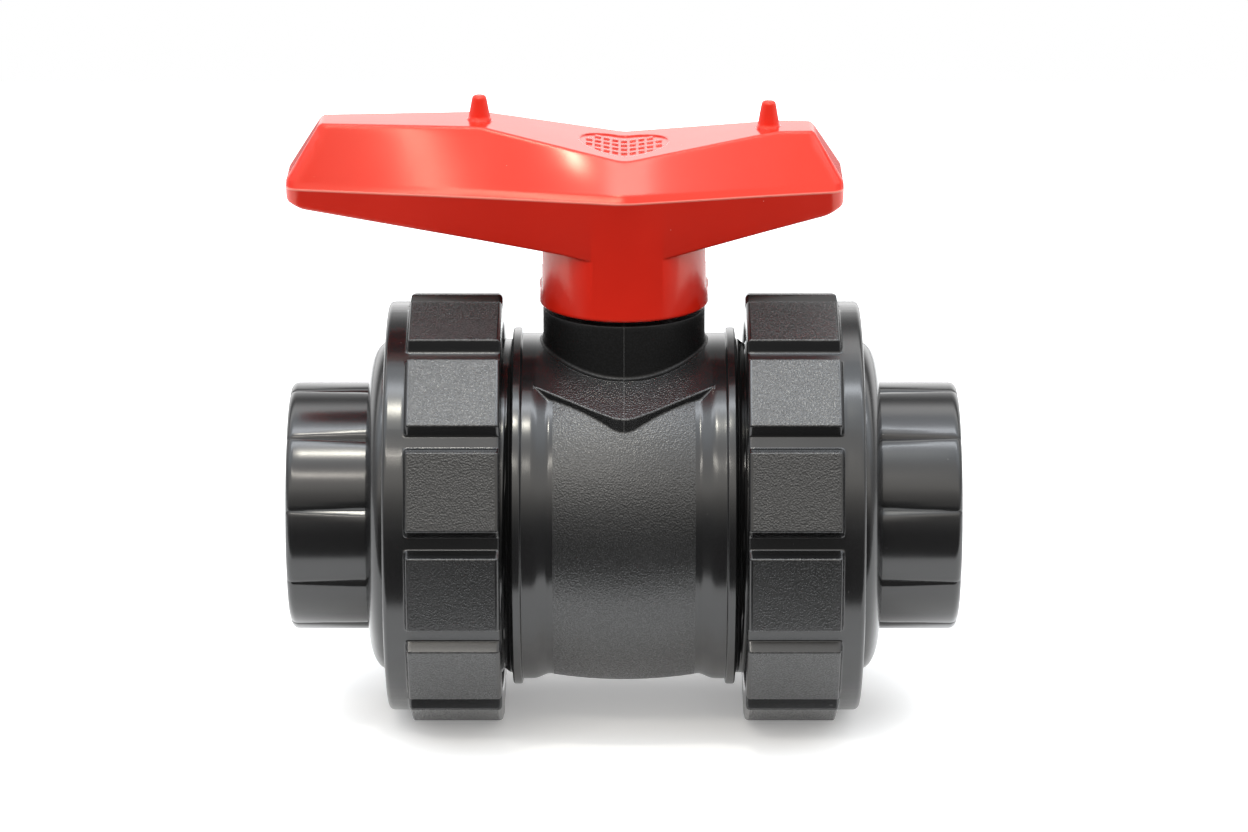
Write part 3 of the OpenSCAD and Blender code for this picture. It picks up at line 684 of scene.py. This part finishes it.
def stop_sector(middle, angle):
    """Quarter-turn stop that stands on the neck."""
    half = math.radians(angle / 2)
    sweep = np.linspace(-half, half, 12) + math.radians(middle)
    outer = NECK_R - STOP_INSET
    inner = outer - STOP_W
    top = BODY_HI[2]
    section = rounded([[inner, NECK_TOP - 0.4], [outer, NECK_TOP - 0.4], [outer, top], [inner, top]],
                      [0, 0, 0.5, 0.5], 3, closed=True)
    return swept("stop", section, sweep)


def groove_ring(x0, x1, r0, r1):
    """Ring round the pipe that cuts an O-ring groove."""
    angles = np.arange(144)[None, :] * 2 * math.pi / 144 + np.zeros((4, 1))
    x = np.array([[x0], [x1], [x1], [x0]]) + 0 * angles
    r = np.array([[r0], [r0], [r1], [r1]]) + 0 * angles
    return ring_solid("groove", x, r, angles)


def cut(piece, tool):
    """Cuts a tool out of the body, and gives the new faces the satin plastic."""
    wear(tool, SATIN)
    combine(piece, tool, "DIFFERENCE")


def valve_body():
    """Body with neck, stops, bore, grooves for the face and seat O-rings, and the stem's bore."""
    piece = body_shell()
    neck = neck_solid()
    wear(piece, SATIN, GRAINED, NECK_PVC, PAD_PVC)
    wear(neck, NECK_PVC)
    combine(piece, neck, "UNION")
    for middle in (90, 270):
        stop = stop_sector(middle, 49)
        wear(stop, NECK_PVC)
        combine(piece, stop, "UNION")
    seat_r, seat_x, seat_back = 28.55, 15.0, 26.08
    chamber_r, head_r, head_x = 32.05, 36.9, FACE_X - 11.0
    bevel = 0.6
    bore = [[-FACE_X - 2, 0.01], [-FACE_X - 2, head_r + bevel], [-FACE_X, head_r + bevel],
            [-FACE_X + bevel, head_r], [-head_x, head_r], [-head_x, chamber_r], [seat_x, chamber_r],
            [seat_x, seat_r], [seat_back, seat_r], [seat_back, PORT_R], [FACE_X - bevel, PORT_R],
            [FACE_X, PORT_R + bevel], [FACE_X + 2, PORT_R + bevel], [FACE_X + 2, 0.01]]
    cut(piece, revolve_tool("bore", bore))
    cut(piece, groove_ring(FACE_X - 3.0, FACE_X + 1, PORT_R + 5.4, PORT_R + 9.6))
    cut(piece, groove_ring(seat_back - 0.5, seat_back + 3.0, 22.67, 26.87))
    stem_r, flange_r, recess = 9.56, 12.16, 36.45
    cut(piece, turned("stem_bore", [[0.01, 20], [flange_r, 20], [flange_r, recess], [stem_r, recess],
                                    [stem_r, NECK_TOP - 0.5], [stem_r + 0.5, NECK_TOP],
                                    [stem_r + 0.5, NECK_TOP + 20], [0.01, NECK_TOP + 20]]))
    finish_shape(piece, 34)
    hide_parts("body")
    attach(piece, "root")
    return piece


# ---------------------------------------------------------------------------------------------
# Handle
# ---------------------------------------------------------------------------------------------
LONG, SHORT = -HANDLE_LO[0], HANDLE_HI[0]
EDGE_Z = PART_Z + 1.8
HUB_R = 20.7
HUB_BORE_R = HUB_R - 2.8
RIB_T = 1.0
PEG_X = 35.0
TOP_LONG = PART_Z + 15.2
TOP_SHORT = PART_Z + 13.5
SADDLE = PART_Z + 8.3
LEAN_LONG, LEAN_SHORT = 8.4, 7.4
VALLEY_LONG, VALLEY_SHORT = -PEG_X + 0.5, PEG_X + 1.6


def through(corners, radii):
    """Function of x that follows a path with rounded corners."""
    path = rounded(corners, radii, 10)
    return lambda x: np.interp(x, path[:, 0], path[:, 1])


# Heights of the top, with and without its leaning ends
top_line = through([[-LONG - 0.01, EDGE_Z - 1.0], [-LONG + 0.2, EDGE_Z + 0.2], [-LONG + LEAN_LONG, TOP_LONG],
                    [VALLEY_LONG, TOP_LONG], [0, SADDLE], [VALLEY_SHORT, TOP_SHORT],
                    [SHORT - LEAN_SHORT, TOP_SHORT], [SHORT - 0.2, EDGE_Z + 0.2],
                    [SHORT + 0.01, EDGE_Z - 1.0]],
                   [0, 1.6, 1.6, 10, 10, 10, 1.6, 1.6, 0])
plateau = through([[-LONG, TOP_LONG], [VALLEY_LONG, TOP_LONG], [0, SADDLE], [VALLEY_SHORT, TOP_SHORT],
                   [SHORT, TOP_SHORT]], [0, 10, 10, 10, 0])

# Half widths of the top face, of the edge under the slopes and of the parting line
top_half = through([[-LONG, 4.9], [-LONG + 8, 5.4], [-PEG_X, 8.4], [0, 16.3], [VALLEY_SHORT, 6.2],
                    [SHORT, 5.6]], [0, 1, 12, 12, 12, 0])
edge_half = through([[-LONG, 9.0], [-PEG_X, 16.9], [0, 24.2], [PEG_X, 15.1], [SHORT, 11.2]],
                    [0, 30, 16, 20, 0])
part_half = through([[-LONG, 9.6], [-PEG_X, 17.8], [0, 25.0], [PEG_X, 16.0], [SHORT, 12.0]],
                    [0, 30, 16, 20, 0])

# Height of the wings' foot
foot_line = through([[-LONG - 0.01, PART_Z - 1.5], [-LONG + 0.1, PART_Z - 3.4], [-LONG + 4.0, PART_Z - 5.2],
                     [-15.5, PART_Z - 14.2], [0, PART_Z - 17.5], [11.0, PART_Z - 15.0],
                     [SHORT - 4.2, PART_Z - 6.2], [SHORT - 0.1, PART_Z - 4.0], [SHORT + 0.01, PART_Z - 1.5]],
                    [0, 1.5, 3.0, 8, 8, 8, 3.0, 1.5, 0])


def plan_corner(x, z):
    """How far the rounded corner at either end pulls in the side of the handle at x and height z."""
    up_long = max(z - EDGE_Z, 0) / (TOP_LONG - EDGE_Z)
    up_short = max(z - EDGE_Z, 0) / (TOP_SHORT - EDGE_Z)
    near = min(x + LONG - LEAN_LONG * up_long, SHORT - x - LEAN_SHORT * up_short)
    r = 3.4 - 1.6 * max(up_long, up_short)
    d = min(max(near, 0.0), r)
    return r - math.sqrt(max(r * r - (r - d) ** 2, 0.0))


def wing_section(x, inset=0.0, drop=0.0, radii=(1.2, 1.7, 0.8)):
    """Closed section of the wings at x: top, sloping faces, rounded edge, skirts and foot."""
    tz = top_line(x) - inset
    ez = min(EDGE_Z, tz - 0.35)
    pz = min(PART_Z, tz - 0.8)
    bz = min(foot_line(x), pz - 0.5) - drop
    ey = edge_half(x) - inset
    share = min((tz - ez) / max(plateau(x) - inset - ez, 1.0), 1.0)
    ty = ey + (top_half(x) - edge_half(x) + 0.2 * inset) * share
    slope = [[ty + (ey - ty) * s - plan_corner(x, tz + (ez - tz) * s), tz + (ez - tz) * s]
             for s in np.linspace(0, 1, 6)]
    py = part_half(x) - inset - plan_corner(x, pz)
    by = py - (pz - bz - drop) * 0.27
    ridge = 0.2 if inset == 0.0 else 0.0
    corners = [[0, tz], *slope, [py, pz + 0.2], [py + ridge, pz], [py, pz - 0.2], [by, bz], [0, bz]]
    half = rounded(corners, [0, radii[0], 0, 0, 0, 0, radii[1], 0, 0, 0, radii[2], 0], 5)
    loop = np.concatenate([half, half[-2:0:-1] * [-1, 1]])
    return np.stack([0 * loop[:, 0] + x, loop[:, 0], loop[:, 1]], -1)


def wing_stations():
    """Places along the pipe for the sections of the wings, closest at the ends."""
    close = np.array([0.0, 0.03, 0.1, 0.2, 0.35, 0.55, 0.8, 1.1, 1.5, 2.0, 2.6, 3.2, 4.0, 5.0, 6.0])
    ends = np.concatenate([close, np.arange(7.0, 13.0, 0.5)])
    left = -LONG + ends
    right = SHORT - ends[::-1]
    middle = np.arange(left[-1] + 1.0, right[0] - 0.6, 1.0)
    return np.concatenate([left, middle, right])


def saddle_slab(outline, low, high):
    """Slab over the saddle of the handle's top: outline gives (x, y from, y to) along the pipe."""
    out = []
    for x, y0, y1 in outline:
        z = float(top_line(x))
        out.append([[x, y0, z + high], [x, y1, z + high], [x, y1, z + low], [x, y0, z + low]])
    return loft("slab", out)


def mark_pads():
    """Rows of small raised pads, like an unlettered grip field."""
    points, faces = [], []
    for row, reach in ((-6.2, 6.3), (-2.1, 8.4), (2.0, 8.4), (6.1, 6.3)):
        for x in np.arange(-reach, reach + 0.01, 2.1):
            pad = saddle_slab([(v, row - 0.8, row + 0.8) for v in (x - 0.7, x, x + 0.7)], -0.9, 0.0)
            start = len(points)
            points += [v.co / MM for v in pad.data.vertices]
            faces += [[start + k for k in face.vertices] for face in pad.data.polygons]
            bpy.data.objects.remove(pad)
    points = np.array([list(p) for p in points])
    points[:, 2] -= AXIS_H
    return new_piece("pads", points, faces)


def hub_solid():
    """Round hub under the wings; its bore is cut later."""
    top = PART_Z - 4.0
    rim = HUB_BOTTOM + 0.6
    profile = rounded([[HUB_BORE_R - 1, rim], [HUB_R, rim], [HUB_R, top], [HUB_BORE_R - 1, top]],
                      [0, 0.7, 0, 0], 4, closed=True)
    return turned("hub", profile, 160)


def peg(x):
    """Spanner peg on the top face: tapered, with a rounded tip."""
    foot = float(top_line(x))
    tip = foot + (6.0 if x < 0 else 6.5)
    path = rounded([[0.01, foot - 1.5], [3.0, foot - 1.5], [2.95, foot + 0.1], [2.62, foot + 0.6],
                    [1.6, tip], [0.01, tip]], [0, 0, 0.1, 0.8, 1.35, 0], 5)
    angles = np.arange(40) * 2 * math.pi / 40
    sections = [np.stack([x + r * np.cos(angles), r * np.sin(angles), 0 * angles + z], -1) for r, z in path]
    return loft("peg", sections)


def cell_section(x, half):
    """Inside of one half of the wings at x, from the middle rib to the skirt."""
    wall, drop = 3.0, 6.0
    loop = wing_section(x, wall, drop, (0.8, 1.0, 0.1))
    loop[:, 1] = np.where(loop[:, 1] * half < RIB_T, half * RIB_T, loop[:, 1])
    middle = len(loop) // 2
    if half > 0:
        return loop[:middle + 1]
    return np.concatenate([loop[middle:], loop[:1]])


def hollow_cells():
    """Hollow of both wings from below, in cells left by the ribs."""
    cells = []
    for x0, x1, count in ((-LONG + 7, -HUB_R + 1, 4), (HUB_R - 1, SHORT - 6, 2)):
        width = (x1 - x0) / count
        for i in range(count):
            a = x0 + i * width + RIB_T
            b = x0 + (i + 1) * width - RIB_T
            if i == 0:
                a -= RIB_T
            if i == count - 1:
                b += RIB_T
            for half in (-1, 1):
                cells.append(loft("cell", [cell_section(x, half) for x in np.linspace(a, b, 9)]))
    return cells


def block(name, x0, x1, half_y, low, high):
    """Upright square-cornered cutter."""
    corners = [[x0, -half_y], [x1, -half_y], [x1, half_y], [x0, half_y]]
    return loft(name, [[[x, y, z] for x, y in corners] for z in (low, high)])


def handle():
    """Red handle: two hollow wings, hub with boss, stop lugs and square socket, pegs and grip field."""
    piece = loft("handle_shell", [wing_section(x) for x in wing_stations()])
    combine(piece, hub_solid(), "UNION")
    roof = PART_Z + 4.2
    for cell in hollow_cells():
        combine(piece, cell, "DIFFERENCE")
    hub_bore = [[0.01, HUB_BOTTOM - 2], [HUB_BORE_R, HUB_BOTTOM - 2], [HUB_BORE_R, roof - 1.5],
                [HUB_BORE_R - 1.5, roof], [0.01, roof]]
    combine(piece, turned("hub_bore", hub_bore, 144), "DIFFERENCE")
    boss_r = NECK_R - STOP_INSET - STOP_W - 1.3
    boss = [[0.01, HUB_BOTTOM + 1.5], [boss_r - 0.4, HUB_BOTTOM + 1.5], [boss_r, HUB_BOTTOM + 1.9],
            [boss_r, roof + 1], [0.01, roof + 1]]
    combine(piece, turned("boss", boss, 96), "UNION")
    r0, r1 = NECK_R - 5.9, HUB_BORE_R + 1
    low, high = HUB_BOTTOM + 1, HUB_BOTTOM + 9.5
    for middle in (45, 225):
        sweep = np.radians(np.linspace(middle - 20, middle + 20, 12))
        combine(piece, swept("lug", [[r0, low], [r1, low], [r1, high], [r0, high]], sweep), "UNION")
    for x in (-PEG_X, PEG_X):
        combine(piece, peg(x), "UNION")
    half = 6.35
    combine(piece, block("square", -half, half, half, HUB_BOTTOM - 2, NECK_TOP + 17.2), "DIFFERENCE")
    for side in (-1, 1):
        notch = block("notch", side * (HUB_R - 1.2), side * (HUB_R + 3), 5.5, HUB_BOTTOM + 5.5, PART_Z - 13.0)
        combine(piece, notch, "DIFFERENCE")
    recess_r = 10.8
    disc = []
    for a in np.linspace(math.pi, 0, 61):
        y = max(recess_r * math.sin(a), 0.02)
        disc.append((recess_r * math.cos(a), -y, y))
    combine(piece, saddle_slab(disc, -0.3, 3.0), "DIFFERENCE")
    combine(piece, mark_pads(), "UNION")
    wear(piece, RED)
    finish_shape(piece, 34)
    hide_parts("handle")
    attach(piece, "handle")
    return piece


# ---------------------------------------------------------------------------------------------
# Assembly
# ---------------------------------------------------------------------------------------------
for side, word in ((-1, "left"), (1, "right")):
    union_nut(f"nut_{word}_shell", f"union_nut_{word}", f"nut_{word}", side)
    end_connector(f"connector_{word}_shell", f"end_connector_{word}", f"end_{word}", side)
valve_body()
handle()

# The inner pieces keep their CAD shape; those that aren't named here are O-rings
INNER = {"ball": BALL, "stem": STEM, "seat_carrier": CARRIER, "stem_thrust_washer": PTFE,
         "seat_left": PTFE, "seat_right": PTFE}
for node, piece in frame["nodes"].items():
    if not piece.hide_render:
        wear(piece, INNER.get(node, RUBBER))


# ---------------------------------------------------------------------------------------------
# Floor, light and camera
# ---------------------------------------------------------------------------------------------
def paper():
    """Pale floor, in metres; it glows a little, so that it stays close to white."""
    half_width, front, back = 1.6, -0.10, 0.7
    corners = [(-half_width, front, 0), (half_width, front, 0), (half_width, back, 0), (-half_width, back, 0)]
    mesh = bpy.data.meshes.new("paper")
    mesh.from_pydata(corners, [], [(0, 1, 2, 3)])
    floor = bpy.data.objects.new("paper", mesh)
    bpy.context.scene.collection.objects.link(floor)
    nodes = Nodes("paper")
    nodes.shader.inputs["Roughness"].default_value = 0.9
    nodes.shader.inputs["Emission Color"].default_value = (1.0, 1.0, 1.0, 1.0)
    nodes.shader.inputs["Emission Strength"].default_value = 0.22
    base = nodes.mix(nodes.noise(3.0, 2.0), (0.94, 0.94, 0.94, 1.0), (0.97, 0.97, 0.97, 1.0))
    nodes.link(base, "Base Color")
    mesh.materials.append(nodes.material)


# Sky as (degrees over the front horizon, brightness, tint)
COOL, PLAIN, WARM = (0.90, 0.95, 1.0), (1.0, 1.0, 1.0), (1.0, 0.97, 0.92)
SKY = ((-180, 1.9, PLAIN), (-172, 0.2, PLAIN), (-5, 0.13, PLAIN), (5, 0.25, PLAIN), (14, 0.6, WARM),
       (22, 1.0, WARM), (30, 1.9, WARM), (58, 1.8, PLAIN), (66, 2.2, COOL), (76, 2.8, COOL), (88, 2.8, COOL),
       (104, 2.0, COOL), (112, 3.0, PLAIN), (121, 3.0, PLAIN), (130, 0.8, PLAIN), (138, 0.2, PLAIN),
       (150, 0.8, PLAIN), (165, 2.0, PLAIN), (180, 1.9, PLAIN))
SKY_TOP = 3.0
SKY_ENDS = 0.8


def surroundings():
    """Big tent: its brightness goes by the angle over the front horizon, and it is white to the camera."""
    world = bpy.data.worlds.new("studio")
    bpy.context.scene.world = world
    world.use_nodes = True
    tree = world.node_tree

    def add(kind, inputs, **settings):
        node = tree.nodes.new(kind)
        for key, value in settings.items():
            setattr(node, key, value)
        for key, value in inputs.items():
            if isinstance(value, bpy.types.NodeSocket):
                tree.links.new(value, node.inputs[key])
            else:
                node.inputs[key].default_value = value
        return node

    place = add("ShaderNodeTexCoord", {})
    axis = add("ShaderNodeSeparateXYZ", {0: place.outputs["Generated"]})
    forward = add("ShaderNodeMath", {0: axis.outputs["Y"], 1: -1.0}, operation="MULTIPLY")
    angle = add("ShaderNodeMath", {0: axis.outputs["Z"], 1: forward.outputs[0]}, operation="ARCTAN2")
    turn = add("ShaderNodeMath", {0: angle.outputs[0], 1: 0.5 / math.pi, 2: 0.5}, operation="MULTIPLY_ADD")
    ramp = add("ShaderNodeValToRGB", {"Fac": turn.outputs[0]})
    while len(ramp.color_ramp.elements) < len(SKY):
        ramp.color_ramp.elements.new(0.5)
    for element, (degrees, brightness, tint) in zip(ramp.color_ramp.elements, SKY):
        element.position = (degrees + 180) / 360
        element.color = (*[brightness / SKY_TOP * channel for channel in tint], 1.0)
    sideways = add("ShaderNodeMath", {0: axis.outputs["X"]}, operation="ABSOLUTE")
    end = add("ShaderNodeMapRange", {"Value": sideways.outputs[0], "From Min": 0.75, "From Max": 0.98})
    flank = [SKY_ENDS / SKY_TOP] * 3 + [1.0]
    sides = add("ShaderNodeMix", {0: end.outputs["Result"], 6: ramp.outputs["Color"], 7: flank},
                data_type="RGBA")
    path = add("ShaderNodeLightPath", {})
    white = [1.0 / SKY_TOP] * 3 + [1.0]
    seen = add("ShaderNodeMix", {0: path.outputs["Is Camera Ray"], 6: sides.outputs[2], 7: white},
               data_type="RGBA")
    background = tree.nodes["Background"]
    tree.links.new(seen.outputs[2], background.inputs["Color"])
    background.inputs["Strength"].default_value = SKY_TOP


def lights():
    """Lamps: name, degrees over the front horizon, sideways shift, size, brightness, colour; in metres."""
    distance = 1.25
    aim_h = 0.08
    for name, elevation, shift, size, brightness, colour in (
            ("strip_front", 45.0, -0.30, (0.62, 0.06), 20.0, (1.0, 0.95, 0.86)),
            ("strip_top", 84.0, 0.0, (1.6, 0.11), 9.0, (0.90, 0.94, 1.0)),
            ("glint", 71.0, -0.10, (0.16, 0.05), 110.0, (1.0, 0.96, 0.84))):
        tilt = math.radians(elevation)
        place = Vector((shift, -distance * math.cos(tilt), aim_h + distance * math.sin(tilt)))
        data = bpy.data.lights.new(name, "AREA")
        data.shape = "RECTANGLE"
        data.size, data.size_y = size
        data.energy = brightness * math.pi * size[0] * size[1]
        data.color = colour
        lamp = bpy.data.objects.new(name, data)
        lamp.location = place
        lamp.rotation_euler = (Vector((0, 0, aim_h)) - place).to_track_quat("-Z", "Y").to_euler()
        bpy.context.scene.collection.objects.link(lamp)


def camera():
    """Long lens from the front, a little over the pipe axis."""
    elevation = math.radians(16.5)
    distance = 1.28
    aim = Vector((0.0, 0.0, (AXIS_H + 23.0) * MM))
    data = bpy.data.cameras.new("camera")
    data.lens = 150.0
    data.sensor_width = 36.0
    data.clip_start = 0.05
    view = bpy.data.objects.new("camera", data)
    view.location = aim + distance * Vector((0.0, -math.cos(elevation), math.sin(elevation)))
    view.rotation_euler = (aim - view.location).to_track_quat("-Z", "Y").to_euler()
    bpy.context.scene.collection.objects.link(view)
    bpy.context.scene.camera = view


paper()
surroundings()
lights()
camera()
bpy.context.scene.view_settings.view_transform = "Standard"
